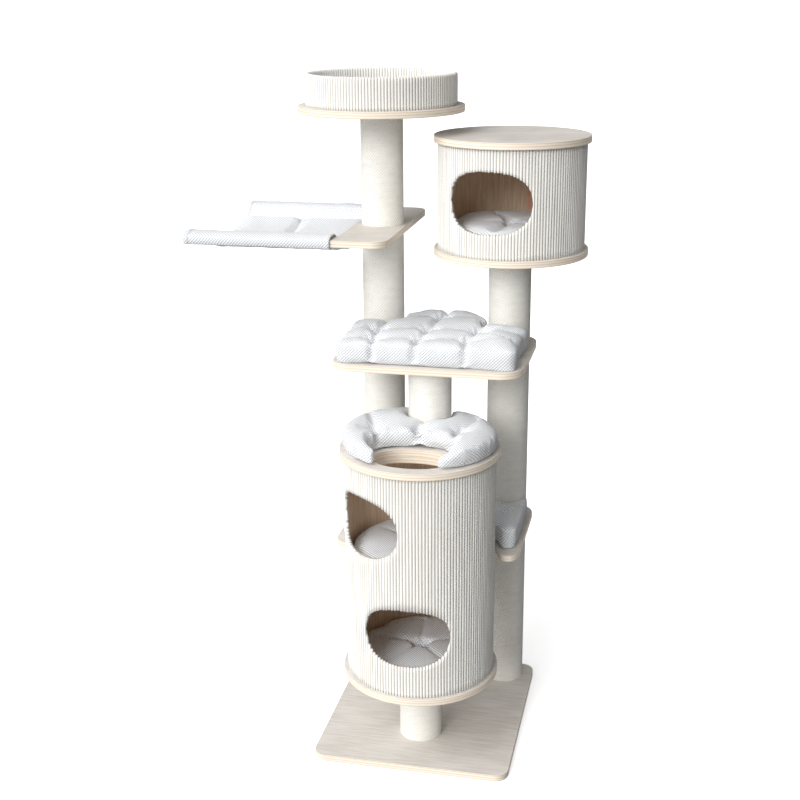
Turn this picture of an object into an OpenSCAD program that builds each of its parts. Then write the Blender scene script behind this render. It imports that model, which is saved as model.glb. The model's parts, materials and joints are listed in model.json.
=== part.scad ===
// A floor-standing cat tree. All sizes are in millimetres.
// The origin is the centre of the base board's underside, +Z is up and -Y is the front.
// Three stacks of wound posts carry the boards. The front stack carries the tall barrel,
// the left stack carries the hammock and the bowl, and the right stack carries the round cabin.

/* [Boards] */
// Thickness of every plywood board
board_t = 18; // [15:1:20]
// Width of the base board, left to right
base_w = 534; // [526:2:580]
// Depth of the base board, front to back
base_d = 602; // [600:2:640]
// Corner radius of the base board
base_corner_r = 36; // [20:1:50]
// Width of the two large platforms
platform_w = 511; // [500:1:525]
// Depth of the two large platforms, measured from the back edge of the base
platform_d = 387; // [380:1:395]
// Corner radius of the two large platforms
platform_corner_r = 62; // [30:1:64]

/* [Posts] */
// Outer diameter of a cardboard post core
core_d = 108; // [100:1:110]
// Wall thickness of a post core
core_wall = 5; // [4:0.5:8]
// Thickness of the rope winding on a post
rope_t = 4.5; // [3:0.5:5]
// Distance of the side posts from the centre line
side_post_x = 179; // [176:1:182]
// Distance of the side posts behind the centre of the base
side_post_y = 240; // [236:1:241]
// Distance of the front post before the centre of the base
front_post_y = -125; // [-130:1:-122]
// Distance of the short middle post behind the centre of the base
middle_post_y = 10; // [4:1:14]
// Length of the front post under the barrel
front_post_h = 202; // [180:1:220]
// Length of the middle post on the barrel
middle_post_h = 178; // [170:1:190]
// Length of the lowest side post segments
side_post_1_h = 513; // [480:1:540]
// Length of the left post segment under the hammock
left_post_3_h = 300; // [280:1:320]
// Length of the left post segment under the bowl
left_post_4_h = 305; // [280:1:320]
// Length of the right post segment under the cabin
right_post_3_h = 247; // [240:1:250]

/* [Barrel, cabin and bowl] */
// Outer radius of the cord cover on the barrel and the cabin
tube_r = 200; // [198:1:201]
// Thickness of the cord cover
cord_t = 5; // [4:0.5:6]
// Thickness of the bent plywood wall
wall_t = 6; // [5:0.5:8]
// Radius of the round end boards
disc_r = 210; // [206:1:212]
// Height of the barrel from underside to top
barrel_h = 648; // [640:1:660]
// Top face of the barrel's middle floor above the barrel's underside
mid_floor_top = 333; // [328:1:338]
// Height of the cabin from underside to top
cabin_h = 321; // [310:1:330]
// Radius of the bowl's board
bowl_disc_r = 226; // [222:1:228]
// Outer radius of the bowl's cord cover
bowl_tube_r = 206.5; // [204:0.5:208]
// Height of the bowl's wall above its board
bowl_wall_h = 86; // [80:1:95]
// Thickness of the locating discs inside the walls
insert_t = 12; // [10:1:14]

/* [Openings] */
// Width of an entrance, measured straight across
entrance_w = 229; // [220:1:236]
// Height of an entrance
entrance_h = 165; // [150:1:168]
// Squareness of an entrance: 2 is an ellipse, and more is squarer
entrance_power = 2.5; // [2:0.1:3]
// Centre of the barrel's lower entrance above the barrel's underside
lower_entrance_up = 186; // [182:1:190]
// Centre of the barrel's upper entrance above the barrel's underside
upper_entrance_up = 474; // [470:1:478]
// Turn of the barrel's upper entrance away from the front, towards the left
upper_entrance_turn = 40; // [35:1:42]
// Centre of the cabin's entrance above the cabin's underside
cabin_entrance_up = 164; // [160:1:166]
// Turn of the cabin's entrance away from the front, towards the left
cabin_turn = 11; // [0:1:30]
// Width of the way up through the barrel's top
top_hole_w = 200; // [180:2:204]
// Depth of the way up through the barrel's top
top_hole_d = 134; // [120:2:136]
// Distance of that way's centre before the barrel's axis
top_hole_forward = 103; // [100:1:106]
// Squareness of that way: 2 is an ellipse, and more is squarer
top_hole_power = 2.2; // [2:0.1:2.6]
// How far the board under it stands into that way
top_hole_step = 2; // [0:0.5:4]

/* [Hammock] */
// Length of the hammock frame from its back edge to its front edge
hammock_d = 552; // [540:2:560]
// Reach of the hammock frame from the post's axis to its right edge
hammock_right = 71; // [66:1:76]
// Reach of the hammock frame's arms from the post's axis
hammock_reach = 468; // [440:2:480]
// Width of one hammock arm
arm_w = 60; // [50:1:66]
// Corner radius of the hammock frame
hammock_corner_r = 42; // [30:1:50]
// How far the sling hangs below its sleeves
sling_sag = 46; // [40:1:60]
// Thickness of the sling's cloth
sling_t = 4; // [3:0.5:5]
// Thickness of the pad sewn on the sling
pad_t = 16; // [12:1:20]

/* [Cushions] */
// Thickness of the cushions on the platforms
platform_cushion_t = 62; // [50:1:66]
// Thickness of the cushion round the way up on the barrel
top_cushion_t = 52; // [45:1:60]
// Thickness of the round cushions inside the barrel and the cabin
chamber_cushion_t = 54; // [40:1:56]
// Thickness of the bowl's cushion
bowl_cushion_t = 46; // [40:1:50]

/* [Hidden] */
$fn = 96;

// Colours
ply = [0.87, 0.83, 0.78];
inner_ply = [0.62, 0.50, 0.41];
cord = [0.93, 0.92, 0.88];
rope = [0.92, 0.91, 0.87];
cardboard = [0.72, 0.60, 0.45];
cloth = [0.88, 0.89, 0.91];
steel = [0.70, 0.70, 0.72];

// Places of the post axes
front = [0, front_post_y];
middle = [0, middle_post_y];
left = [-side_post_x, side_post_y];
right = [side_post_x, side_post_y];

// Heights of every level, from the floor up
barrel_z = board_t + front_post_h;
barrel_top_z = barrel_z + barrel_h;
lower_z = board_t + side_post_1_h;
upper_z = barrel_top_z + middle_post_h;
hammock_z = upper_z + board_t + left_post_3_h;
bowl_z = hammock_z + board_t + left_post_4_h;
cabin_z = upper_z + board_t + right_post_3_h;

// Foot and head of each post segment
front_span = [board_t, barrel_z];
middle_span = [barrel_top_z, upper_z];
side_1_span = [board_t, lower_z];
side_2_span = [lower_z + board_t, upper_z];
left_3_span = [upper_z + board_t, hammock_z];
left_4_span = [hammock_z + board_t, bowl_z];
right_3_span = [upper_z + board_t, cabin_z];

// Fits: a glued fit keeps this much between two round pieces, and a turning fit this much
glue_gap = 0.1;
turn_gap = 0.05;
cushion_gap = 0.3;

// Every cutting solid runs this far past the face that it cuts
cut = 1;

// Bolts and studs
bolt_r = 5;
bolt_head_r = 10;
bolt_head_t = 5;
hex_r = 4;
hex_t = 3;
washer_r = 14;
washer_t = 2;
bolt_grip = 26;
stud_bite = 22;
plug_t = 28;
bolt_pocket_r = 16;
bolt_pocket_t = 8;

// Walls
wall_r = tube_r - cord_t - glue_gap;
inner_r = wall_r - wall_t;
insert_r = inner_r - glue_gap;
bowl_lining_r = bowl_tube_r - 2 * cord_t - wall_t - 2 * glue_gap;
bowl_wall_r = bowl_tube_r - cord_t - glue_gap;
barrel_wall_z = [barrel_z + board_t, barrel_top_z - board_t];
cabin_wall_z = [cabin_z + board_t, cabin_z + cabin_h - board_t];
seam_t = 2;
seam_w = 44;
seam_turn = -12.5;
screw_r = 1.75;
screw_hole_r = 1.8;
screw_len = 20;
screw_head_r = 3.5;
screw_head_t = 1.5;
screws_per_ring = 6;
screw_ring_turn = 30;
barrel_screw_z = [barrel_wall_z[0] + insert_t / 2, barrel_z + mid_floor_top - board_t / 2,
                  barrel_wall_z[1] - board_t / 2];
cabin_screw_z = [cabin_wall_z[0] + insert_t / 2, cabin_wall_z[1] - insert_t / 2];
bowl_screw_z = [bowl_z + board_t + insert_t / 2];

// The screw in the middle of the cabin's top: shank, bore, head, countersink and cross slot
top_screw_r = 2;
top_screw_hole_r = 2.1;
top_screw_head_r = 4.8;
top_screw_head_t = 2.4;
top_sink_r = 5;
top_sink_t = 3;
slot_l = 6;
slot_w = 1.2;
slot_t = 2;

// Posts and platforms
post_r = core_d / 2 + rope_t;
platform_back = base_d / 2;
platform_front = platform_back - platform_d;
barrel_gap = 4;
horn_r = 24;

// Cushions
cushion_margin = 11;
cushion_corner_r = 30;
cushion_post_gap = 5;
chamber_cushion_r = inner_r - 7;
bowl_cushion_r = bowl_lining_r - 5;
wing_front = platform_front + 9;
wing_back = side_post_y - post_r - 9;
tongue_w = 2 * (side_post_x - post_r - cushion_post_gap);
horseshoe_r = disc_r - 5;
horseshoe_rim = 12;
horseshoe_mouth_w = 168;
horseshoe_post_gap = 4;

// ---- Outlines -------------------------------------------------------------------------------

// A rectangle with four round corners, from its low corner to its high corner
module rounded(low, high, r) {
    translate([low[0] + r, low[1]]) square([high[0] - low[0] - 2 * r, high[1] - low[1]]);
    translate([low[0], low[1] + r]) square([high[0] - low[0], high[1] - low[1] - 2 * r]);
    for (x = [low[0] + r, high[0] - r], y = [low[1] + r, high[1] - r]) translate([x, y]) circle(r);
}

// An oval between an ellipse and a rectangle
function oval(w, h, power, steps = 72) =
    [for (i = [0:steps - 1]) let (a = 360 * i / steps, c = cos(a), s = sin(a))
        [w / 2 * sign(c) * pow(abs(c), 2 / power), h / 2 * sign(s) * pow(abs(s), 2 / power)]];

// The outline of both large platforms, drawn in by margin
module platform_outline(margin = 0) {
    rounded([-platform_w / 2 + margin, platform_front + margin],
            [platform_w / 2 - margin, platform_back - margin], platform_corner_r - margin);
}

// The lower platform's outline, with its front cut back round the barrel and its horns rounded
module lower_outline(margin = 0) {
    offset(r = horn_r) offset(delta = -horn_r) difference() {
        platform_outline(margin);
        translate(front) circle(disc_r + barrel_gap + margin);
    }
}

// ---- Shared pieces --------------------------------------------------------------------------

// A tube standing on span[0] and ending at span[1]
module tube(at, span, outer, inner) {
    translate([at[0], at[1], span[0]]) difference() {
        cylinder(h = span[1] - span[0], r = outer);
        translate([0, 0, -cut]) cylinder(h = span[1] - span[0] + 2 * cut, r = inner);
    }
}

// The cardboard core of one post segment
module post_core(at, span) {
    color(cardboard) tube(at, span, core_d / 2, core_d / 2 - core_wall);
}

// The rope winding of one post segment
module post_rope(at, span) {
    color(rope) tube(at, span, post_r, core_d / 2 + glue_gap);
}

// A hole for a bolt or stud through a board at height z
module board_hole(at, z, r = bolt_r + glue_gap) {
    translate([at[0], at[1], z - cut]) cylinder(h = board_t + insert_t + 2 * cut, r = r);
}

// A round board with its lower face at z
module disc(at, z, r, t) {
    translate([at[0], at[1], z]) cylinder(h = t, r = r);
}

// A bolt with its washer's far face at z, pointing up (1) or down (-1)
module bolt(at, z, way) {
    translate([at[0], at[1], z]) mirror([0, 0, way > 0 ? 0 : 1]) {
        translate([0, 0, -washer_t - bolt_head_t]) difference() {
            cylinder(h = bolt_head_t, r = bolt_head_r);
            translate([0, 0, -cut]) cylinder(h = hex_t + cut, r = hex_r, $fn = 6);
        }
        translate([0, 0, -washer_t]) cylinder(h = washer_t + bolt_grip + board_t, r = bolt_r);
    }
}

// The washer of the same bolt
module washer(at, z, way) {
    translate([at[0], at[1], z]) mirror([0, 0, way > 0 ? 0 : 1])
        translate([0, 0, -washer_t]) difference() {
            cylinder(h = washer_t, r = washer_r);
            translate([0, 0, -cut]) cylinder(h = washer_t + 2 * cut, r = bolt_r + glue_gap);
        }
}

// Every bolt: place, the height that it clamps at, and its way
BOLTS = [[front, bolt_pocket_t, 1], [left, bolt_pocket_t, 1], [right, bolt_pocket_t, 1],
         [front, barrel_z + board_t, -1],
         [middle, barrel_top_z - 2 * board_t, 1],
         [middle, upper_z + board_t - bolt_pocket_t, -1],
         [right, cabin_z + board_t, -1], [left, bowl_z + board_t, -1]];

// Every joining stud: place, and the underside of the board that it passes
STUDS = [[left, lower_z], [right, lower_z], [left, upper_z], [right, upper_z], [left, hammock_z]];

// Every post segment: place and span
SEGMENTS = [[front, front_span], [middle, middle_span],
            [left, side_1_span], [left, side_2_span], [left, left_3_span], [left, left_4_span],
            [right, side_1_span], [right, side_2_span], [right, right_3_span]];

// The bore in a post's end plugs, as deep as the bolts and studs reach
module plug(at, z) {
    translate([at[0], at[1], z]) difference() {
        cylinder(h = plug_t, r = core_d / 2 - core_wall - glue_gap);
        translate([0, 0, -cut]) cylinder(h = plug_t + 2 * cut, r = bolt_r + turn_gap);
    }
}

// A ring of wall screws pointing inwards, with their heads let into the wall
module screw_ring(at, z, r, hole = false) {
    extra = hole ? screw_hole_r - screw_r : 0;
    for (i = [0:screws_per_ring - 1]) translate([at[0], at[1], z])
        rotate([0, 0, screw_ring_turn + i * 360 / screws_per_ring])
        translate([r, 0, 0]) rotate([0, -90, 0]) {
            translate([0, 0, hole ? -cut : glue_gap])
                cylinder(h = screw_head_t + (hole ? cut + glue_gap : 0), r = screw_head_r + extra);
            cylinder(h = screw_len + extra, r = screw_r + extra);
        }
}

// An entrance cut from the axis outwards at height z
module entrance(at, z, turn) {
    translate([at[0], at[1], z]) rotate([0, 0, -turn]) rotate([90, 0, 0])
        linear_extrude(height = disc_r) polygon(oval(entrance_w, entrance_h, entrance_power));
}

// The barrel's two entrances
module barrel_entrances() {
    entrance(front, barrel_z + lower_entrance_up, 0);
    entrance(front, barrel_z + upper_entrance_up, upper_entrance_turn);
}

// The way up through the barrel's top, widened by grow
module top_hole(z, h, grow = 0) {
    translate([front[0], front[1] - top_hole_forward, z]) linear_extrude(height = h)
        polygon(oval(top_hole_w + 2 * grow, top_hole_d + 2 * grow, top_hole_power));
}

// A strip that covers the joint of a bent wall on the inside
module seam_strip(at, span, turn) {
    intersection() {
        tube(at, span, inner_r - glue_gap, inner_r - glue_gap - seam_t);
        translate([at[0], at[1], span[0] - cut]) rotate([0, 0, turn])
            translate([-seam_w / 2, 0, 0]) cube([seam_w, tube_r, span[1] - span[0] + 2 * cut]);
    }
}

// ---- Base, posts and fastenings -------------------------------------------------------------

module base_board() {
    color(ply) difference() {
        linear_extrude(height = board_t)
            rounded([-base_w / 2, -base_d / 2], [base_w / 2, base_d / 2], base_corner_r);
        for (at = [front, left, right]) {
            board_hole(at, 0);
            translate([at[0], at[1], -cut])
                cylinder(h = bolt_pocket_t + cut, r = bolt_pocket_r);
        }
    }
}

module panel_bolts() {
    color(steel) for (b = BOLTS) bolt(b[0], b[1], b[2]);
}

module bolt_washers() {
    color(steel) for (b = BOLTS) washer(b[0], b[1], b[2]);
}

module post_studs() {
    color(steel) for (s = STUDS) translate([s[0][0], s[0][1], s[1] - stud_bite])
        cylinder(h = board_t + 2 * stud_bite, r = bolt_r);
}

module post_plugs() {
    color(cardboard) for (s = SEGMENTS) {
        plug(s[0], s[1][0]);
        plug(s[0], s[1][1] - plug_t);
    }
}

// ---- Barrel ---------------------------------------------------------------------------------

module barrel_bottom_board() {
    color(ply) difference() {
        disc(front, barrel_z, disc_r, board_t);
        board_hole(front, barrel_z);
    }
}

module barrel_bottom_insert() {
    color(inner_ply) difference() {
        disc(front, barrel_wall_z[0], insert_r, insert_t);
        board_hole(front, barrel_z, bolt_pocket_r);
        screw_ring(front, barrel_screw_z[0], wall_r, true);
    }
}

module barrel_wall() {
    color(inner_ply) difference() {
        tube(front, barrel_wall_z, wall_r, inner_r);
        barrel_entrances();
        for (z = barrel_screw_z) screw_ring(front, z, wall_r, true);
    }
}

module barrel_cord_cover() {
    color(cord) difference() {
        tube(front, barrel_wall_z, tube_r, tube_r - cord_t);
        barrel_entrances();
    }
}

module barrel_mid_floor() {
    color(inner_ply) difference() {
        disc(front, barrel_z + mid_floor_top - board_t, insert_r, board_t);
        screw_ring(front, barrel_screw_z[1], wall_r, true);
    }
}

module barrel_top_insert() {
    color(ply) difference() {
        disc(front, barrel_wall_z[1] - board_t, insert_r, board_t);
        top_hole(barrel_wall_z[1] - board_t - cut, board_t + 2 * cut, -top_hole_step);
        board_hole(middle, barrel_wall_z[1] - board_t);
        screw_ring(front, barrel_screw_z[2], wall_r, true);
    }
}

module barrel_top_board() {
    color(ply) difference() {
        disc(front, barrel_top_z - board_t, disc_r, board_t);
        top_hole(barrel_top_z - board_t - cut, board_t + 2 * cut);
        board_hole(middle, barrel_top_z - board_t);
    }
}

module barrel_wall_screws() {
    color(steel) for (z = barrel_screw_z) screw_ring(front, z, wall_r);
}

module barrel_seam_strips() {
    color(inner_ply) {
        seam_strip(front, [barrel_wall_z[0] + insert_t, barrel_z + mid_floor_top - board_t],
                   seam_turn);
        seam_strip(front, [barrel_z + mid_floor_top, barrel_wall_z[1] - board_t], seam_turn);
    }
}

module barrel_lower_cushion() {
    color(cloth) disc(front, barrel_wall_z[0] + insert_t + cushion_gap,
                      chamber_cushion_r, chamber_cushion_t);
}

module barrel_upper_cushion() {
    color(cloth) disc(front, barrel_z + mid_floor_top + cushion_gap,
                      chamber_cushion_r, chamber_cushion_t);
}

// Lies round the way up and round the middle post, and is open at the front and the back
module barrel_top_cushion() {
    cut_h = top_cushion_t + 2 * cut;
    color(cloth) difference() {
        disc(front, barrel_top_z + cushion_gap, horseshoe_r, top_cushion_t);
        top_hole(barrel_top_z, cut_h, horseshoe_rim);
        translate([front[0] - horseshoe_mouth_w / 2, front[1] - disc_r, barrel_top_z])
            cube([horseshoe_mouth_w, disc_r - top_hole_forward, cut_h]);
        translate([middle[0], middle[1], barrel_top_z])
            cylinder(h = cut_h, r = post_r + horseshoe_post_gap);
        translate([middle[0] - core_d / 2, middle[1], barrel_top_z])
            cube([core_d, 2 * disc_r, cut_h]);
    }
}

// ---- Platforms ------------------------------------------------------------------------------

module lower_platform() {
    color(ply) difference() {
        translate([0, 0, lower_z]) linear_extrude(height = board_t) lower_outline();
        for (at = [left, right]) board_hole(at, lower_z);
    }
}

module lower_platform_cushion() {
    notch_r = post_r + cushion_post_gap;
    color(cloth) difference() {
        translate([0, 0, lower_z + board_t + cushion_gap])
            linear_extrude(height = platform_cushion_t) lower_outline(cushion_margin);
        for (at = [left, right]) {
            translate([at[0], at[1], lower_z]) cylinder(h = 2 * platform_cushion_t, r = notch_r);
            translate([at[0] - notch_r, at[1], lower_z])
                cube([2 * notch_r, base_d, 2 * platform_cushion_t]);
        }
    }
}

module upper_platform() {
    color(ply) difference() {
        translate([0, 0, upper_z]) linear_extrude(height = board_t) platform_outline();
        for (at = [left, right, middle]) board_hole(at, upper_z);
        translate([middle[0], middle[1], upper_z + board_t - bolt_pocket_t])
            cylinder(h = bolt_pocket_t + cut, r = bolt_pocket_r);
    }
}

// Ends before the side posts, with a tongue that runs back between them
module upper_platform_cushion() {
    color(cloth) translate([0, 0, upper_z + board_t + cushion_gap])
        linear_extrude(height = platform_cushion_t) {
            rounded([-platform_w / 2 + cushion_margin, wing_front],
                    [platform_w / 2 - cushion_margin, wing_back], cushion_corner_r);
            rounded([-tongue_w / 2, platform_front + 2 * cushion_margin],
                    [tongue_w / 2, platform_back - cushion_margin], cushion_corner_r);
        }
}

// ---- Cabin ----------------------------------------------------------------------------------

module cabin_bottom_board() {
    color(ply) difference() {
        disc(right, cabin_z, disc_r, board_t);
        board_hole(right, cabin_z, bolt_r + turn_gap);
    }
}

module cabin_bottom_insert() {
    color(inner_ply) difference() {
        disc(right, cabin_wall_z[0], insert_r, insert_t);
        board_hole(right, cabin_z, bolt_pocket_r);
        screw_ring(right, cabin_screw_z[0], wall_r, true);
    }
}

module cabin_wall() {
    color(inner_ply) difference() {
        tube(right, cabin_wall_z, wall_r, inner_r);
        entrance(right, cabin_z + cabin_entrance_up, cabin_turn);
        for (z = cabin_screw_z) screw_ring(right, z, wall_r, true);
    }
}

module cabin_cord_cover() {
    color(cord) difference() {
        tube(right, cabin_wall_z, tube_r, tube_r - cord_t);
        entrance(right, cabin_z + cabin_entrance_up, cabin_turn);
    }
}

module cabin_top_insert() {
    color(inner_ply) difference() {
        disc(right, cabin_wall_z[1] - insert_t, insert_r, insert_t);
        screw_ring(right, cabin_screw_z[1], wall_r, true);
        cabin_screw_bore();
    }
}

// The bore and countersink of the screw in the middle of the cabin's top
module cabin_screw_bore() {
    top = cabin_z + cabin_h;
    translate([right[0], right[1], top - board_t - insert_t + top_sink_t])
        cylinder(h = board_t + insert_t, r = top_screw_hole_r);
    translate([right[0], right[1], top - top_sink_t])
        cylinder(h = top_sink_t + cut, r = top_sink_r);
}

module cabin_top_board() {
    color(ply) difference() {
        disc(right, cabin_z + cabin_h - board_t, disc_r, board_t);
        cabin_screw_bore();
    }
}

module cabin_top_screw() {
    top = cabin_z + cabin_h;
    color(steel) translate([right[0], right[1], 0]) difference() {
        union() {
            translate([0, 0, top - top_sink_t])
                cylinder(h = top_screw_head_t, r = top_screw_head_r);
            translate([0, 0, top - board_t - insert_t + top_sink_t + cut])
                cylinder(h = board_t + insert_t - 2 * top_sink_t, r = top_screw_r);
        }
        for (a = [0, 90]) rotate([0, 0, a]) translate([-slot_l / 2, -slot_w / 2, top - slot_t])
            cube([slot_l, slot_w, slot_t + cut]);
    }
}

module cabin_wall_screws() {
    color(steel) for (z = cabin_screw_z) screw_ring(right, z, wall_r);
}

module cabin_seam_strip() {
    color(inner_ply)
        seam_strip(right, [cabin_wall_z[0] + insert_t, cabin_wall_z[1] - insert_t], seam_turn);
}

module cabin_cushion() {
    color(cloth) disc(right, cabin_wall_z[0] + insert_t + cushion_gap,
                      chamber_cushion_r, chamber_cushion_t);
}

// ---- Bowl -----------------------------------------------------------------------------------

module bowl_board() {
    color(ply) difference() {
        disc(left, bowl_z, bowl_disc_r, board_t);
        board_hole(left, bowl_z, bolt_r + turn_gap);
    }
}

module bowl_insert() {
    color(inner_ply) difference() {
        disc(left, bowl_z + board_t, bowl_lining_r + cord_t - glue_gap, insert_t);
        board_hole(left, bowl_z, bolt_pocket_r);
        screw_ring(left, bowl_screw_z[0], bowl_wall_r, true);
    }
}

module bowl_wall() {
    color(inner_ply) difference() {
        tube(left, [bowl_z + board_t, bowl_z + board_t + bowl_wall_h - cord_t - glue_gap],
             bowl_wall_r, bowl_wall_r - wall_t);
        screw_ring(left, bowl_screw_z[0], bowl_wall_r, true);
    }
}

// Runs up the outside, over the rim and down the inside to the insert
module bowl_cord_cover() {
    foot = bowl_z + board_t;
    color(cord) translate([left[0], left[1], foot]) rotate_extrude() difference() {
        translate([bowl_lining_r, 0]) square([bowl_tube_r - bowl_lining_r, bowl_wall_h]);
        translate([bowl_lining_r - cut, -cut])
            square([cord_t + cut, insert_t + cut + glue_gap]);
        translate([bowl_lining_r + cord_t, -cut])
            square([wall_t + 2 * glue_gap, bowl_wall_h - cord_t + cut]);
    }
}

module bowl_wall_screws() {
    color(steel) for (z = bowl_screw_z) screw_ring(left, z, bowl_wall_r);
}

module bowl_cushion() {
    color(cloth) disc(left, bowl_z + board_t + insert_t + cushion_gap,
                      bowl_cushion_r, bowl_cushion_t);
}

// ---- Hammock --------------------------------------------------------------------------------

sleeve_slack = 1;
sleeve_setback = 6;
sleeve_overhang = 4;
pad_side = 14;
pad_in = 36;
arm_left = left[0] - hammock_reach;
frame_front = left[1] - hammock_d / 2;
frame_back = left[1] + hammock_d / 2;
sling_right = left[0] - hammock_right - sleeve_setback;
sling_left = arm_left - sleeve_overhang;
hollow_front = frame_front + arm_w;
hollow_back = frame_back - arm_w;

// A U-shaped board: a bridge under the post's foot and two arms that run out to the left
module hammock_frame() {
    color(ply) difference() {
        translate([0, 0, hammock_z]) linear_extrude(height = board_t) difference() {
            rounded([arm_left, frame_front], [left[0] + hammock_right, frame_back],
                    hammock_corner_r);
            translate([arm_left - cut, hollow_front])
                square([hammock_reach - hammock_right + cut, hollow_back - hollow_front]);
        }
        board_hole(left, hammock_z, bolt_r + turn_gap);
    }
}

// Height of the sling's upper face at y, a parabola between its two sleeves
function sling_y0() = hollow_front + sleeve_slack + sling_t;
function sling_y1() = hollow_back - sleeve_slack - sling_t;
function sling_top(y) =
    let (m = (sling_y0() + sling_y1()) / 2, h = (sling_y1() - sling_y0()) / 2)
    hammock_z - sleeve_slack - sling_sag * (1 - pow((y - m) / h, 2));

// A band under the parabola, from y0 to y1, reaching from up above it to down below it
function band(y0, y1, up, down, steps = 24) =
    concat([for (i = [0:steps]) let (y = y0 + (y1 - y0) * i / steps) [y, sling_top(y) + up]],
           [for (i = [steps:-1:0]) let (y = y0 + (y1 - y0) * i / steps) [y, sling_top(y) - down]]);

// One sleeve: a flat tube of cloth round an arm
module sleeve(y) {
    difference() {
        translate([y - sleeve_slack - sling_t, hammock_z - sleeve_slack - sling_t])
            square([arm_w + 2 * (sleeve_slack + sling_t), board_t + 2 * (sleeve_slack + sling_t)]);
        translate([y - sleeve_slack, hammock_z - sleeve_slack])
            square([arm_w + 2 * sleeve_slack, board_t + 2 * sleeve_slack]);
    }
}

// Turns a (y, z) outline into a solid that runs from x0 to x1
module along_x(x0, x1) {
    translate([x0, 0, 0]) rotate([90, 0, 90]) linear_extrude(height = x1 - x0) children();
}

module hammock_sling() {
    color(cloth) union() {
        for (y = [frame_front, hollow_back]) along_x(sling_left, sling_right) sleeve(y);
        along_x(sling_left, sling_right)
            polygon(band(sling_y0() - sling_t / 2, sling_y1() + sling_t / 2, 0, sling_t));
    }
}

module hammock_pad() {
    color(cloth) along_x(sling_left + pad_side, sling_right - pad_side)
        polygon(band(sling_y0() + pad_in, sling_y1() - pad_in, pad_t, -cushion_gap));
}

base_board();
panel_bolts();
bolt_washers();
post_studs();
post_plugs();
post_core(front, front_span);  // front_post_core
post_rope(front, front_span);  // front_post_rope
post_core(middle, middle_span);  // middle_post_core
post_rope(middle, middle_span);  // middle_post_rope
post_core(left, side_1_span);  // left_post_1_core
post_rope(left, side_1_span);  // left_post_1_rope
post_core(left, side_2_span);  // left_post_2_core
post_rope(left, side_2_span);  // left_post_2_rope
post_core(left, left_3_span);  // left_post_3_core
post_rope(left, left_3_span);  // left_post_3_rope
post_core(left, left_4_span);  // left_post_4_core
post_rope(left, left_4_span);  // left_post_4_rope
post_core(right, side_1_span);  // right_post_1_core
post_rope(right, side_1_span);  // right_post_1_rope
post_core(right, side_2_span);  // right_post_2_core
post_rope(right, side_2_span);  // right_post_2_rope
post_core(right, right_3_span);  // right_post_3_core
post_rope(right, right_3_span);  // right_post_3_rope
barrel_bottom_board();
barrel_bottom_insert();
barrel_wall();
barrel_cord_cover();
barrel_mid_floor();
barrel_top_insert();
barrel_top_board();
barrel_wall_screws();
barrel_seam_strips();
barrel_lower_cushion();
barrel_upper_cushion();
barrel_top_cushion();
lower_platform();
lower_platform_cushion();
upper_platform();
upper_platform_cushion();
cabin_bottom_board();
cabin_bottom_insert();
cabin_wall();
cabin_cord_cover();
cabin_top_insert();
cabin_top_board();
cabin_top_screw();
cabin_wall_screws();
cabin_seam_strip();
cabin_cushion();
bowl_board();
bowl_insert();
bowl_wall();
bowl_cord_cover();
bowl_wall_screws();
bowl_cushion();
hammock_frame();
hammock_sling();
hammock_pad();
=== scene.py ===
# %% [markdown]
# # A tall cat tree
# A cat tree is a stack of furniture boards on wound posts, with a barrel, a cabin, a bowl and a
# hammock to sleep in. Its frame is already exact: boards, posts and bent walls sit where they are
# bolted on the real one. What is left is what the eye notices: the ribs of the cord, the turns of
# the rope, the layers in a board's edge, and cushions that look as if they were stuffed by hand.
# Each step below makes one of these, in metres, in the frame's own place.

# %% Load the frame
import json
import math
import random

import bpy
import numpy as np
from mathutils import Matrix, Vector, noise

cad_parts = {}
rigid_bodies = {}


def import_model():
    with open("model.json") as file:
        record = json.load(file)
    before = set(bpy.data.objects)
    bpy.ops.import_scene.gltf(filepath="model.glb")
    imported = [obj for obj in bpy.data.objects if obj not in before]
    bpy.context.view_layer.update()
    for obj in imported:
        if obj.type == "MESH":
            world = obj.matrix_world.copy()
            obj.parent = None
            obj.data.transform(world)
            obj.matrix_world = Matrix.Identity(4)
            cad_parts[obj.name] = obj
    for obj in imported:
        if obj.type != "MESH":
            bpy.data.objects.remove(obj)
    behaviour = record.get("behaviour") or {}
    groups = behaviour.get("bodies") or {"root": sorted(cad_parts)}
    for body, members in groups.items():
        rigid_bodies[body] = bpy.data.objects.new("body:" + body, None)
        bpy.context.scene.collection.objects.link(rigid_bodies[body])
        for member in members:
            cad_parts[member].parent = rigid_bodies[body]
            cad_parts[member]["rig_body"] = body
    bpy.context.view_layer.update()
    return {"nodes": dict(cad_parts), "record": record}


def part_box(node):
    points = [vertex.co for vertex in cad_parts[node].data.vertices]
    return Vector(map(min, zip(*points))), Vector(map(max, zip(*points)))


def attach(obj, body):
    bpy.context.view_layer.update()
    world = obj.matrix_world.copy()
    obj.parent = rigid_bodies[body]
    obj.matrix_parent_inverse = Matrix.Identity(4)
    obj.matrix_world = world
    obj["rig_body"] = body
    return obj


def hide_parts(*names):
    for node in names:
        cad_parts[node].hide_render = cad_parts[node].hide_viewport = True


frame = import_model()
nodes = frame["nodes"]
scene = bpy.context.scene
MM = 0.001

# %% [markdown]
# ## Camera
# A tall object is best seen from a little above its middle, from the front and slightly to the
# right, with a lens long enough that its posts stay nearly parallel.

# %% Camera
CAMERA_PLACE = (0.6481, -3.2155, 2.0176)
CAMERA_TURN = math.radians(12.7645)
CAMERA_DIP = math.radians(-17.9732)
CAMERA_ROLL = math.radians(-0.5025)
CAMERA_LENS = 57.93


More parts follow.
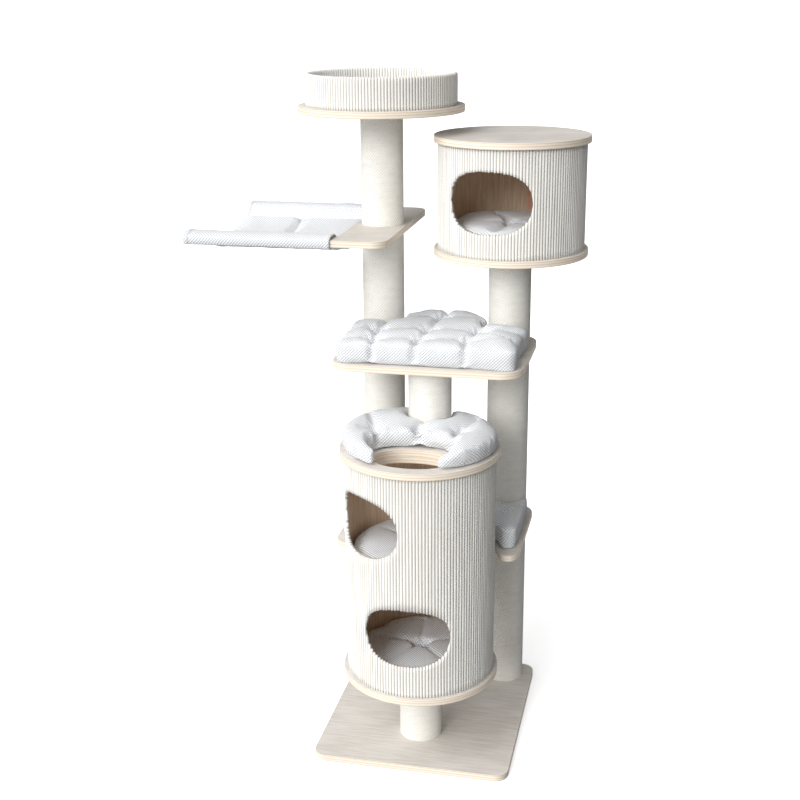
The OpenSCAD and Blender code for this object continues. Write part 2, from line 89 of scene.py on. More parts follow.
def aim_camera(place, turn, dip, roll, lens):
    """A camera that looks along +Y, turned to the left, dipped and rolled by these angles."""
    ahead = Vector((-math.sin(turn) * math.cos(dip), math.cos(turn) * math.cos(dip), math.sin(dip)))
    right = Vector((math.cos(turn), math.sin(turn), 0))
    up = right.cross(ahead)
    right_rolled = math.cos(roll) * right + math.sin(roll) * up
    up_rolled = math.cos(roll) * up - math.sin(roll) * right
    data = bpy.data.cameras.new("camera")
    data.lens = lens
    data.sensor_width = 36
    camera = bpy.data.objects.new("camera", data)
    axes = Matrix((right_rolled, up_rolled, -ahead)).transposed().to_4x4()
    camera.matrix_world = Matrix.Translation(place) @ axes
    scene.collection.objects.link(camera)
    scene.camera = camera


aim_camera(CAMERA_PLACE, CAMERA_TURN, CAMERA_DIP, CAMERA_ROLL, CAMERA_LENS)
print("camera at", CAMERA_PLACE, "with a", CAMERA_LENS, "mm lens")

# %% [markdown]
# ## Shader arithmetic
# Every finish here is worked out from where a point is, so it needs sums: how far round a tube,
# how far up a board's edge. Written as nodes, such a sum is a page of wires. The class below wraps
# a node's output, so that a sum can be written as one and Python lays the wires.


# %% A wire that can be added and multiplied
class Wire:
    """One output of a shader node. Python's operators on it add Math nodes."""

    def __init__(self, finish, socket):
        self.finish = finish
        self.socket = socket

    def _math(self, operation, *values):
        return self.finish.add("ShaderNodeMath", {"operation": operation}, dict(enumerate(values)))

    def __add__(self, other):
        return self._math("ADD", self, other)

    def __radd__(self, other):
        return self._math("ADD", other, self)

    def __sub__(self, other):
        return self._math("SUBTRACT", self, other)

    def __rsub__(self, other):
        return self._math("SUBTRACT", other, self)

    def __mul__(self, other):
        return self._math("MULTIPLY", self, other)

    def __rmul__(self, other):
        return self._math("MULTIPLY", other, self)

    def __truediv__(self, other):
        return self._math("DIVIDE", self, other)

    def __pow__(self, other):
        return self._math("POWER", self, other)

    def __abs__(self):
        return self._math("ABSOLUTE", self)

    def sine(self):
        return self._math("SINE", self)

    def fraction(self):
        return self._math("FRACT", self)

    def angle_from(self, other):
        """The angle of the point whose sine side is this wire and whose cosine side is other."""
        return self._math("ARCTAN2", self, other)

    def ramp(self, low, high):
        """0 below low and 1 above high, with soft ends."""
        settings = {"interpolation_type": "SMOOTHSTEP"}
        return self.finish.add("ShaderNodeMapRange", settings, {0: self, 1: low, 2: high})


print("a wire can be added, multiplied, bent into a wave or cut to a ramp")


# %% A finish is one material
class Finish:
    """One material and its principled shader, with a method that adds any other node."""

    def __init__(self, name, **constants):
        self.material = bpy.data.materials.new(name)
        self.material.use_nodes = True
        self.tree = self.material.node_tree
        self.shader = self.tree.nodes["Principled BSDF"]
        for socket, value in constants.items():
            self.shader.inputs[socket.replace("_", " ")].default_value = value

    def feed(self, node, name, value):
        """Links a wire to a node's socket, or sets the socket to a plain value."""
        if isinstance(value, Wire):
            self.tree.links.new(value.socket, node.inputs[name])
        else:
            node.inputs[name].default_value = value

    def add(self, kind, settings=None, sockets=None, output=0):
        """A node of this type: its settings first, then the values or links of its sockets."""
        node = self.tree.nodes.new(kind)
        for name, value in (settings or {}).items():
            setattr(node, name, value)
        for name, value in (sockets or {}).items():
            self.feed(node, name, value)
        return Wire(self, node.outputs[output])

    def place(self):
        """Where the point is, in metres from the piece's own origin."""
        return self.add("ShaderNodeTexCoord", output="Object")

    def facing(self):
        """Which way the surface faces, along the piece's own axes."""
        return self.add("ShaderNodeTexCoord", output="Normal")

    def split(self, vector):
        """The three parts of a vector, each as a wire of its own."""
        node = self.add("ShaderNodeSeparateXYZ", {}, {0: vector}).socket.node
        return [Wire(self, output) for output in node.outputs]

    def stretch(self, vector, scale):
        """The vector with each of its parts multiplied, which squeezes a pattern along that way."""
        return self.add("ShaderNodeVectorMath", {"operation": "MULTIPLY"}, {0: vector, 1: scale})

    def noise(self, vector, size, detail=3.0, roughness=0.5):
        """Cloudy values near a half, with blotches of this size in metres."""
        sockets = {"Vector": vector, "Scale": 1 / size, "Detail": detail, "Roughness": roughness}
        return self.add("ShaderNodeTexNoise", {}, sockets)

    def mix(self, share, first, second):
        """The first colour where share is 0 and the second where it is 1."""
        return self.add("ShaderNodeMix", {"data_type": "RGBA"}, {0: share, 6: first, 7: second}, 2)

    def dress(self, colour, roughness, height, depth, strength=1.0):
        """Feeds the shader: its colour, its roughness, and a relief of this depth in metres."""
        sockets = {"Strength": strength, "Distance": depth, "Height": height}
        bump = self.add("ShaderNodeBump", {}, sockets)
        self.feed(self.shader, "Base Color", colour)
        self.feed(self.shader, "Roughness", roughness)
        self.feed(self.shader, "Normal", bump)
        return self.material


def paint(red, green, blue):
    """A colour from its screen values, 0 to 255, as the linear light that a shader takes."""
    linear = [((c / 255 + 0.055) / 1.055) ** 2.4 if c > 10 else c / 3294 for c in (red, green, blue)]
    return (*linear, 1.0)


TURN = 2 * math.pi
print("finishes are ready to be mixed")

# %% [markdown]
# ## Whitewashed plywood
# The boards are plywood with a thin white wash on their faces, through which the grain still
# shows, and bare edges where the layers can be counted. One material does both: where the
# surface faces up or down it is a face, and elsewhere it is an edge, striped by height. The
# rounded corner between the two is rubbed a little warmer by handling.

# %% Plywood finishes
LAYERS = 5
BOARD_DEPTH = 18 * MM


def plywood(name, wash, grain_dark, light_layer, dark_layer, rub):
    """Boards: washed faces with grain along X, and layered edges."""
    finish = Finish(name)
    place = finish.place()
    up = abs(finish.split(finish.facing())[2])
    face = up.ramp(0.72, 0.95)
    rubbed = up.ramp(0.2, 0.5) * (1 - up.ramp(0.86, 0.99))
    streaks = finish.noise(finish.stretch(place, (2.2, 34, 2.2)), 0.22, 5, 0.6)
    fibres = finish.noise(finish.stretch(place, (9, 300, 9)), 0.3, 2, 0.5)
    clouds = finish.noise(place, 0.16, 3, 0.55)
    grain = (streaks * 0.6 + fibres * 0.25 + clouds * 0.35).ramp(0.47, 0.76)
    washed = finish.mix(grain, wash, grain_dark)
    depth = finish.split(place)[2] / (BOARD_DEPTH / LAYERS)
    wander = finish.noise(finish.stretch(place, (3, 3, 3)), 0.6, 2) * 0.2
    layers = ((depth + wander) * math.pi).sine().ramp(-0.1, 0.9)
    pores = finish.noise(finish.stretch(place, (6, 6, 90)), 0.05, 3).ramp(0.45, 0.75)
    layered = finish.mix(layers, light_layer, dark_layer)
    edge = finish.mix(pores * 0.2, layered, dark_layer)
    worn = finish.mix(rubbed * 0.55, finish.mix(face, edge, washed), rub)
    relief = grain * face * 0.35 + layers * (1 - face) * 0.5 + fibres * 0.25
    return finish.dress(worn, 0.62 - grain * 0.12, relief, 0.35 * MM, 0.6)


BOARD = plywood("ply_board", paint(224, 219, 213), paint(203, 196, 187),
                paint(239, 229, 214), paint(222, 204, 180), paint(232, 219, 200))
print(LAYERS, "layers in a board of", BOARD_DEPTH / MM, "mm")


# %% Bent plywood, the brown inside of the barrel and the cabin
def bent_plywood(name, pale, deep, length):
    """Thin plywood with its grain upright, as it has to be to bend round."""
    finish = Finish(name)
    place = finish.place()
    streaks = finish.noise(finish.stretch(place, (60, 60, 3)), 0.3, 5, 0.65)
    clouds = finish.noise(finish.stretch(place, (1, 1, 0.35)), length, 2)
    pores = finish.noise(finish.stretch(place, (300, 300, 22)), 0.25, 2)
    grain = (streaks * 0.7 + clouds * 0.3).ramp(0.36, 0.66)
    colour = finish.mix(pores.ramp(0.6, 0.75) * 0.5, finish.mix(grain, pale, deep), deep)
    return finish.dress(colour, 0.5 + grain * 0.15, grain + pores * 0.4, 0.25 * MM, 0.5)


INNER = bent_plywood("ply_inner", paint(232, 210, 185), paint(206, 179, 152), 0.12)
VENEER = bent_plywood("seam_veneer", paint(238, 190, 168), paint(218, 160, 134), 0.05)
print("bent plywood and its seam veneer")

# %% [markdown]
# ## Cord and rope
# Two kinds of cord are wound on the tree. The barrel, the cabin and the bowl carry a thick one,
# laid upright side by side; the posts carry a thin one, wound round and round. Both are twisted
# from strands, which shows as short slanted ticks. The ribs and the turns are real geometry, and
# the twist is relief in the finish, counted from the angle round the tube and the height. The
# colour carries painted shade too: the grooves between ribs, between turns and between strands
# are painted darker.

# %% Cord finishes
COVER_RIBS = 150
TICK = 4.6 * MM


def upright_cord(name, pale, deep, ribs):
    """Cord laid upright round a tube whose axis is the piece's own Z axis, with painted shade in its
    grooves.
    """
    finish = Finish(name, Sheen_Weight=0.2)
    place = finish.place()
    x, y, z = finish.split(place)
    across = y.angle_from(x) * (ribs / TURN)
    # painted shade: valley is 1 in the groove between two cords and darkens the colour there
    valley = ((across * TURN + math.pi / 2).sine() * 0.5 + 0.5) ** 2.5
    twist = ((z / TICK + across * 0.8) * TURN).sine() * 0.5 + 0.5
    hairs = finish.noise(finish.stretch(place, (1, 1, 0.4)), 1.6 * MM, 3, 0.7)
    tint = finish.noise(finish.stretch(place, (1, 1, 0.12)), 11 * MM, 2)
    # The colour is painted shade in the grooves between cords (valley) and between strands (1 - twist),
    # mixed with the cord's own uneven tone (hairs, tint).
    shade = valley * 0.6 + (1 - twist) * 0.22 + (hairs - 0.5) * 0.4 + (tint - 0.5) * 0.25
    colour = finish.mix(shade.ramp(0.0, 1.0), pale, deep)
    relief = twist * 0.55 + hairs * 0.9
    return finish.dress(colour, 0.85, relief, 0.9 * MM, 0.75)


def wound_rope(name, pale, deep, pitch, strand):
    """Thin rope wound round a post whose axis is the piece's own Z axis, with painted shade in its grooves.
    """
    finish = Finish(name, Sheen_Weight=0.2)
    place = finish.place()
    x, y, z = finish.split(place)
    round_about = y.angle_from(x) / TURN
    along = z / pitch - round_about
    # painted shade: valley darkens the groove between two turns of rope
    valley = ((along * TURN + math.pi / 2).sine() * 0.5 + 0.5) ** 2.5
    twist = ((round_about * strand - along * 0.6) * TURN).sine() * 0.5 + 0.5
    hairs = finish.noise(place, 1.5 * MM, 3, 0.7)
    tint = finish.noise(finish.stretch(place, (1, 1, 2.5)), 30 * MM, 3)
    # The colour is painted shade between turns (valley) and between strands (1 - twist), mixed with the
    # rope's own uneven tone (hairs, tint).
    shade = valley * 0.12 + (1 - twist) * 0.36 + (hairs - 0.5) * 0.7 + (tint - 0.5) * 0.4
    colour = finish.mix(shade.ramp(0.0, 1.0), pale, deep)
    return finish.dress(colour, 0.85, twist * 0.8 + hairs, 0.9 * MM, 0.8)


ROPE_PITCH = 5.4 * MM
ROPE_TICKS = 44
CORD = upright_cord("cord_cover", paint(242, 241, 237), paint(172, 163, 148), COVER_RIBS)
ROPE = wound_rope("post_rope", paint(246, 244, 238), paint(196, 187, 170), ROPE_PITCH, ROPE_TICKS)
print(COVER_RIBS, "ribs round a tube, a turn of rope every", ROPE_PITCH / MM, "mm")

# %% [markdown]
# ## Cushion cloth
# The cushions are sewn from a thick white cotton with a raised lattice: small white lozenges with
# grey thread between them. Cloth has no single flat direction on a cushion, so the lattice is
# laid three times, from above, from the front and from the side, and each point takes the one it
# faces most.

# %% Cloth finish
LOZENGE = 8.4 * MM


def lattice_cloth(name, white, thread):
    """White cloth with slanted lozenges, on any surface."""
    finish = Finish(name, Sheen_Weight=0.35, Sheen_Roughness=0.45)
    place = finish.place()
    sway = finish.noise(place, 40 * MM, 2)
    x, y, z = finish.split(place)
    fx, fy, fz = [abs(side) ** 4.0 for side in finish.split(finish.facing())]

    def lattice(a, b):
        """1 in the middle of a lozenge and 0 on the thread between two."""
        rising = abs(((a + b) * (TURN / 2 / LOZENGE) + sway * 2).sine())
        falling = abs(((a - b) * (TURN / 2 / LOZENGE) + sway * 2).sine())
        return rising * (0.35 + 0.65 * falling)

    patches = lattice(x, y) * fz + lattice(x, 0 - z) * fy + lattice(y, z) * fx
    raised = (patches / (fx + fy + fz)).ramp(0.08, 0.62)
    lint = finish.noise(place, 1.2 * MM, 2, 0.6)
    soft = finish.noise(place, 60 * MM, 2)
    shade = (1 - raised) * 0.8 + (lint - 0.5) * 0.3 + (soft - 0.5) * 0.1
    colour = finish.mix(shade.ramp(0.0, 1.0), white, thread)
    return finish.dress(colour, 0.9, raised + lint * 0.3, 1.1 * MM, 0.8)


CLOTH = lattice_cloth("cushion_cloth", paint(242, 244, 246), paint(168, 173, 181))
print("lozenges", LOZENGE / MM, "mm wide")

# %% [markdown]
# ## Small and hidden parts
# The post cores are spirally wound cardboard tubes, with wooden plugs in their ends that take the
# studs. Bolts, washers and screws are zinc-plated steel. Little of this is seen, but it is there
# when a bowl or a cabin is lifted off.


# %% Cardboard, plug wood and steel
CARD_PITCH = 90 * MM


def cardboard(name):
    """Brown paper wound to a tube, with a seam that climbs one strip for each turn."""
    finish = Finish(name)
    place = finish.place()
    x, y, z = finish.split(place)
    wrap = ((z / CARD_PITCH + y.angle_from(x) / TURN).fraction() - 0.5).ramp(0.46, 0.5)
    fibres = finish.noise(finish.stretch(place, (1, 1, 6)), 9 * MM, 4, 0.6)
    shade = (fibres * 0.8 + wrap * 0.3).ramp(0.2, 0.9)
    colour = finish.mix(shade, paint(186, 160, 126), paint(140, 112, 80))
    return finish.dress(colour, 0.9, fibres + wrap, 0.3 * MM, 0.6)


def plug_wood(name):
    """Turned softwood with its rings drawn out along the grain."""
    finish = Finish(name)
    place = finish.place()
    rings = finish.noise(finish.stretch(place, (60, 4, 60)), 0.3, 4, 0.6).ramp(0.35, 0.7)
    colour = finish.mix(rings, paint(214, 180, 134), paint(170, 128, 82))
    return finish.dress(colour, 0.6, rings, 0.3 * MM, 0.5)


def zinc(name):
    """Zinc-plated steel, dulled in patches."""
    finish = Finish(name, Metallic=1.0)
    place = finish.place()
    spangle = finish.noise(place, 3 * MM, 3, 0.6)
    worn = finish.noise(place, 12 * MM, 2).ramp(0.5, 0.75)
    colour = finish.mix(spangle * 0.6 + worn * 0.4, paint(196, 196, 192), paint(150, 148, 142))
    return finish.dress(colour, 0.28 + worn * 0.25, spangle, 0.08 * MM, 0.5)


FINISHES = {"ply_board": BOARD, "ply_inner": INNER, "seam_veneer": VENEER, "cord_cover": CORD,
            "post_rope": ROPE, "cushion_cloth": CLOTH, "cardboard_core": cardboard("cardboard_core"),
            "wood_plug": plug_wood("wood_plug"), "steel_fixings": zinc("steel_fixings")}
print("finishes:", ", ".join(FINISHES))


# %% Every frame piece takes the finish that the record gives it
SLOTS = {part["node"]: part["material_slot"] for part in frame["record"]["subparts"]}
for node_name, piece in nodes.items():
    piece.data.materials.clear()
    piece.data.materials.append(FINISHES[SLOTS[node_name]])
print("finished", len(SLOTS), "frame pieces")

# %% [markdown]
# ## Where things are
# A tube's axis and its ends come from the frame's own boxes. The body that a piece rides on is
# the body of the frame piece it stands for, so that it follows every swivel and lift.


# %% Places, and a helper that puts a piece in the scene
def axis_of(node):
    """The middle of a frame piece at its lowest height."""
    low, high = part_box(node)
    return Vector(((low.x + high.x) / 2, (low.y + high.y) / 2, low.z))


def shell_mesh(name, points, faces):
    """A smooth mesh from points and from the faces between them."""
    mesh = bpy.data.meshes.new(name)
    mesh.from_pydata([tuple(p) for p in points], [], [tuple(int(i) for i in f) for f in faces])
    mesh.validate()
    mesh.polygons.foreach_set("use_smooth", [True] * len(mesh.polygons))
    return mesh


def stand_in(name, mesh, origin, node, finish=None):
    """Shows mesh, drawn round origin, in place of a frame piece, and lets it ride as that did."""
    piece = bpy.data.objects.new(name, mesh)
    piece.location = origin
    scene.collection.objects.link(piece)
    mesh.materials.clear()
    mesh.materials.append(finish or FINISHES[SLOTS[node]])
    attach(piece, nodes[node]["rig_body"])
    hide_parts(node)
    return piece


print("the barrel's axis is at", [round(v, 4) for v in axis_of("barrel_cord_cover")])

# %% [markdown]
# ## Boards
# A board on the real tree is sawn, then sanded so that no edge is sharp. The frame's boards have
# sharp edges, so each shown board is a copy with its triangles joined into flat faces and its
# edges rounded by a bevel. Weighted normals keep the faces flat to the eye. The two boards of the
# way up are rounded more than the rest, because a cat climbs over them.

# %% Boards with sanded edges
SANDED = 1.6 * MM
WELD_GAP = 0.01 * MM
BOARDS = ["base_board", "barrel_bottom_board", "barrel_top_board", "barrel_mid_floor",
          "lower_platform", "upper_platform", "cabin_bottom_board", "cabin_top_board",
          "bowl_board", "hammock_frame", "barrel_top_insert"]


def sanded_board(node, radius):
    """A copy of a frame board with its edges rounded to this radius."""
    mesh = nodes[node].data.copy()
    origin = axis_of(node)
    mesh.transform(Matrix.Translation(-origin))
    board = stand_in(node + "_sanded", mesh, origin, node)
    weld = board.modifiers.new("weld", "WELD")
    weld.merge_threshold = WELD_GAP
    flat = board.modifiers.new("join_flat_faces", "DECIMATE")
    flat.decimate_type = "DISSOLVE"
    flat.angle_limit = math.radians(1)
    bevel = board.modifiers.new("sanding", "BEVEL")
    bevel.width = radius
    bevel.segments = 3
    bevel.limit_method = "ANGLE"
    bevel.angle_limit = math.radians(40)
    even = board.modifiers.new("even_faces", "WEIGHTED_NORMAL")
    even.weight = 100
    even.keep_sharp = False
    mesh.polygons.foreach_set("use_smooth", [True] * len(mesh.polygons))
    return board


WORN = {"barrel_top_board": 3 * MM, "barrel_top_insert": 3 * MM}
for node_name in BOARDS:
    sanded_board(node_name, WORN.get(node_name, SANDED))
print("sanded", len(BOARDS), "boards")

# %% [markdown]
# ## Cord covers
# The cover of the barrel and the cabin is one layer of cord glued upright on the bent wall, cut
# round the entrances with a knife. So the cover is drawn in columns: each column is a step round
# the tube, its radius follows the round of a cord, and it stops where an entrance starts, where
# it laps over the cut edge of the wall. A few tenths of a millimetre of wander and a slightly
# uneven cut keep it from looking machined.

# %% Entrances, as outlines on a tube
ENTRANCE_WIDTH = 0.229
ENTRANCE_HEIGHT = 0.165
ENTRANCE_POWER = 2.5


class Entrance:
    """A soft-cornered opening, cut straight through a tube at a height and a turn to the left."""

    def __init__(self, centre, turn_deg):
        self.centre = centre
        self.turn = math.radians(turn_deg)

    def half_gap(self, angle, radius):
        """Half the height of the opening in the column at this angle, or 0 beside it."""
        away = angle + math.pi / 2 + self.turn
        away = (away + math.pi) % TURN - math.pi
        share = abs(radius * math.sin(away)) / (ENTRANCE_WIDTH / 2)
        if abs(away) > math.pi / 2 or share >= 1:
            return 0.0
        return ENTRANCE_HEIGHT / 2 * (1 - share ** ENTRANCE_POWER) ** (1 / ENTRANCE_POWER)


BARREL_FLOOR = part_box("barrel_bottom_board")[0].z
CABIN_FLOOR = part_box("cabin_bottom_board")[0].z
BARREL_ENTRANCES = [Entrance(BARREL_FLOOR + 0.186, 0), Entrance(BARREL_FLOOR + 0.474, 40)]
CABIN_ENTRANCES = [Entrance(CABIN_FLOOR + 0.164, 11)]
print("entrances:", len(BARREL_ENTRANCES), "in the barrel and", len(CABIN_ENTRANCES), "in the cabin")


# %% A cover of upright cord
STEPS_PER_RIB = 6
COVER_ROWS = 9
COVER_THICKNESS = 5 * MM
RIB_DEPTH = 3.2 * MM
CUT_SLOPE = 3.2 * MM
LAP = 1.3 * MM
LAP_DEPTH = 5.6 * MM


def cord_relief(step):
    """How far a column's surface lies below the crown of its cord, as a share of the depth."""
    across = 2 * (step % STEPS_PER_RIB) / STEPS_PER_RIB - 1
    return 1 - math.sqrt(max(0.0, 1 - across * across))


def ribbed_cover(node, ribs, entrances, depth, seed):
    """A closed shell of upright cord on a tube, open at its entrances."""
    chance = random.Random(seed)
    low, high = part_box(node)
    origin = axis_of(node)
    outer = (high.x - low.x) / 2
    inner = outer - COVER_THICKNESS
    columns = ribs * STEPS_PER_RIB
    rows = COVER_ROWS
    bands = len(entrances) + 1
    jitter = [chance.uniform(-0.9, 0.9) * MM for _ in range(ribs)]
    lean = [chance.uniform(0, TURN) for _ in range(ribs)]
    bulk = [chance.uniform(-0.35, 0.0) * MM for _ in range(ribs)]
    points, faces, is_open = [], [], []
    for column in range(columns):
        angle = TURN * column / columns
        rib = column // STEPS_PER_RIB
        relief = cord_relief(column)
        gaps = [e.half_gap(angle, outer) for e in entrances]
        is_open.append([gap > 0 for gap in gaps])
        stops = [low.z]
        for entrance, gap in zip(entrances, gaps):
            ragged = gap and gap + jitter[rib] + CUT_SLOPE * relief - LAP
            stops += [entrance.centre - ragged, entrance.centre + ragged]
        stops.append(high.z)
        for band in range(bands):
            start, end = stops[2 * band], stops[2 * band + 1]
            for row in range(rows):
                z = start + (end - start) * row / (rows - 1)
                wander = 0.35 * MM * math.sin(z * 21 + lean[rib])
                r = outer - 0.3 * MM - depth * relief + (bulk[rib] + 0.3 * wander) * (1 - relief)
                theta = angle + wander / outer
                beside = (row == 0 and band > 0 and gaps[band - 1]) or (
                    row == rows - 1 and band < bands - 1 and gaps[band])
                for radius in (r, inner - (LAP_DEPTH if beside else 0)):
                    points.append((radius * math.cos(theta), radius * math.sin(theta), z - low.z))
    per_band = rows * 2
    per_column = bands * per_band

    def index(column, band, row, side):
        """The number of a point: side 0 is the cord's face and side 1 is its back."""
        return (column % columns) * per_column + band * per_band + row * 2 + side

    for column in range(columns):
        near, far = column, column + 1
        for band in range(bands):
            for row in range(rows - 1):
                a, b = index(near, band, row, 0), index(far, band, row, 0)
                c, d = index(far, band, row + 1, 0), index(near, band, row + 1, 0)
                faces.append((a, b, c, d))
                faces.append((d + 1, c + 1, b + 1, a + 1))
            for row, edge in ((0, band - 1), (rows - 1, band)):
                beside = 0 <= edge < len(entrances)
                shut = beside and not (is_open[near][edge] or is_open[far % columns][edge])
                if not shut:
                    a, b = index(near, band, row, 0), index(far, band, row, 0)
                    faces.append((a, a + 1, b + 1, b) if row == 0 else (a, b, b + 1, a + 1))
    mesh = shell_mesh(node + "_ribs", points, faces)
    cover = stand_in(node + "_ribs", mesh, origin, node)
    weld = cover.modifiers.new("weld", "WELD")
    weld.merge_threshold = 0.02 * MM
    return cover


for node_name, openings, seed in (("barrel_cord_cover", BARREL_ENTRANCES, 3),
                                  ("cabin_cord_cover", CABIN_ENTRANCES, 5)):
    cover = ribbed_cover(node_name, COVER_RIBS, openings, RIB_DEPTH, seed)
    print(cover.name, "has", len(cover.data.vertices), "points")

# %% [markdown]
# ## The bowl's cover
# On the bowl the cord runs up the outside, over the rim and down the inside, so one profile is
# enough: it is swept round the axis, and pushed out along its own normal by the cord's relief.

# %% Bowl cover
BOWL_RIBS = 155
BOWL_RIB_DEPTH = 3.0 * MM
BOWL_WALL = 16.2 * MM
BOWL_BACK = 4 * MM
RIM_STEPS = 8


def bowl_profile(height, outer, inner):
    """Points (radius, height, outward radius, outward height) up the outside and down inside."""
    middle = (outer + inner) / 2
    cap = (outer - inner) / 2
    rows = 7
    up = [(outer, (height - cap) * i / rows, 1, 0) for i in range(rows)]
    over = []
    for i in range(RIM_STEPS + 1):
        across, rise = math.cos(i * math.pi / RIM_STEPS), math.sin(i * math.pi / RIM_STEPS)
        over.append((middle + cap * across, height - cap + cap * rise, across, rise))
    down = [(inner, (height - cap) * (1 - i / rows), -1, 0) for i in range(1, rows + 1)]
    return up + over + down


def bowl_cover(node, seed):
    """The bowl's cord as one closed shell, up the outside, over the rim and down the inside."""
    chance = random.Random(seed)
    low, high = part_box(node)
    outer = (high.x - low.x) / 2
    inner = outer - BOWL_WALL
    profile = bowl_profile(high.z - low.z, outer, inner)
    core = [(r - BOWL_BACK * nr, max(0.0, z - BOWL_BACK * nz)) for r, z, nr, nz in profile]
    columns = BOWL_RIBS * STEPS_PER_RIB
    bulk = [chance.uniform(-0.4, 0.0) * MM for _ in range(BOWL_RIBS)]
    points, faces = [], []
    for column in range(columns):
        relief = cord_relief(column)
        dip = 0.3 * MM + BOWL_RIB_DEPTH * relief - bulk[column // STEPS_PER_RIB] * (1 - relief)
        angle = TURN * column / columns
        for r, z, nr, nz in profile:
            radius = r - dip * nr
            points.append((radius * math.cos(angle), radius * math.sin(angle), z - dip * nz))
        for radius, z in core:
            points.append((radius * math.cos(angle), radius * math.sin(angle), z))
    n = len(profile)

    def index(column, row, side=0):
        """The number of a point: side 0 is the cord's face and side 1 is its back."""
        return (column % columns) * 2 * n + side * n + row

    for column in range(columns):
        for row in range(n - 1):
            a, b = index(column, row), index(column + 1, row)
            c, d = index(column + 1, row + 1), index(column, row + 1)
            faces.append((a, b, c, d))
            faces.append((d + n, c + n, b + n, a + n))
        for row, flip in ((0, False), (n - 1, True)):
            a, b = index(column, row), index(column + 1, row)
            faces.append((a, b, b + n, a + n) if flip else (a, a + n, b + n, b))
    mesh = shell_mesh(node + "_ribs", points, faces)
    return stand_in(node + "_ribs", mesh, axis_of(node), node, BOWL_CORD)


BOWL_CORD = upright_cord("cord_cover_bowl", paint(242, 241, 237), paint(172, 163, 148), BOWL_RIBS)
cover = bowl_cover("bowl_cord_cover", 7)
print(cover.name, "has", len(cover.data.vertices), "points")

# %% [markdown]
# ## Wound posts
# A post is wound on a lathe: the rope climbs one pitch for each turn. The surface is a tube whose
# radius dips between two turns, and the dip climbs with the angle as the rope does.

# %% Rope on the posts
ROPE_STEPS = 4
ROPE_THICKNESS = 4.4 * MM
ROPE_DIP = 0.8 * MM
POST_COLUMNS = 56


def rope_winding(node, seed):
    """One post's rope as a closed tube whose dips climb round it."""
    low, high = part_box(node)
    outer = (high.x - low.x) / 2
    inner = outer - ROPE_THICKNESS
    height = high.z - low.z
    rows = max(2, round(height / ROPE_PITCH * ROPE_STEPS))
    start = random.Random(seed).random()
    angles = TURN * np.arange(POST_COLUMNS) / POST_COLUMNS
    z = np.linspace(0, height, rows + 1)
    along = z[:, None] / ROPE_PITCH - angles[None, :] / TURN + start
    across = 2 * (along % 1) - 1
    relief = 1 - np.sqrt(np.maximum(0, 1 - across ** 2))
    radius = outer - 0.2 * MM - ROPE_DIP * np.minimum(relief, 0.8)
    heights = np.repeat(z[:, None], POST_COLUMNS, 1)
    grid = np.stack([radius * np.cos(angles), radius * np.sin(angles), heights], -1)
    ring = np.stack([inner * np.cos(angles), inner * np.sin(angles)], -1)
    ends = [np.column_stack([ring, np.full(POST_COLUMNS, h)]) for h in (0, height)]
    points = np.concatenate([grid.reshape(-1, 3), *ends])
    c = np.arange(POST_COLUMNS)
    d = (c + 1) % POST_COLUMNS
    faces = [np.column_stack([r * POST_COLUMNS + c, r * POST_COLUMNS + d,
                              (r + 1) * POST_COLUMNS + d, (r + 1) * POST_COLUMNS + c]) for r in range(rows)]
    bottom = (rows + 1) * POST_COLUMNS
    top = bottom + POST_COLUMNS
    faces.append(np.column_stack([bottom + c, bottom + d, d, c]))
    faces.append(np.column_stack([rows * POST_COLUMNS + c, rows * POST_COLUMNS + d, top + d, top + c]))
    faces.append(np.column_stack([top + c, top + d, bottom + d, bottom + c]))
    mesh = shell_mesh(node + "_winding", points, np.concatenate(faces))
    return stand_in(node + "_winding", mesh, axis_of(node), node)


WOUND = sorted(n for n in nodes if SLOTS[n] == "post_rope")
total = sum(len(rope_winding(n, i).data.vertices) for i, n in enumerate(WOUND))
print(len(WOUND), "windings,", total, "points")

# %% [markdown]
# ## Cushions
# A cushion is a sewn cover stuffed until it swells, then drawn in with tufts: threads pulled right
# through it. So each one starts as its plain frame solid, remeshed into even squares and worn
# round at its edges. It is pressed in along its seams and at its tufts, those places are pinned,
# and cloth simulation blows up the rest. How far a point may go is capped, folds that run into
# each tuft are pressed in, and the underside is laid flat on its board last.


# %% Distances from a tuft or a seam, seen from above
def share_near(points, line, width):
    """1 on a line through these corners, or at one point, and 0 away from it."""
    flat = points[:, :2]
    corners = np.array(line, float).reshape(-1, 2)
    gap = np.full(len(flat), np.inf)
    for start, end in zip(corners, corners[1:] if len(corners) > 1 else corners):
        along = end - start
        size = float(along @ along)
        t = np.clip((flat - start) @ along / size, 0, 1) if size else np.zeros(len(flat))
        gap = np.minimum(gap, np.linalg.norm(flat - (start + t[:, None] * along), axis=1))
    return np.exp(-(gap / width) ** 2)


def soft_limit(values, low, high, give=9 * MM):
    """Keeps values between low and high, easing them in over the last few millimetres."""
    over = values - (high - give)
    under = (low + give) - values
    eased = np.where(over > 0, high - give * np.exp(-np.maximum(over, 0) / give), values)
    return np.where(under > 0, low + give * np.exp(-np.maximum(under, 0) / give), eased)


print("a limit of 10 mm turns 12 mm into", round(float(soft_limit(12 * MM, 0, 10 * MM)) / MM, 1), "mm")


# %% Reading and writing a mesh's points
def points_of(mesh):
    """A mesh's points as rows of x, y and z."""
    co = np.empty(len(mesh.vertices) * 3, np.float32)
    mesh.vertices.foreach_get("co", co)
    return co.reshape(-1, 3).astype(float)


def normals_of(mesh):
    """The way out of the mesh at each of its points."""
    out = np.empty(len(mesh.vertices) * 3, np.float32)
    mesh.vertex_normals.foreach_get("vector", out)
    return out.reshape(-1, 3).astype(float)


def move_points(mesh, points):
    """Puts a mesh's points at these places."""
    mesh.vertices.foreach_set("co", points.astype(np.float32).ravel())
    mesh.update()


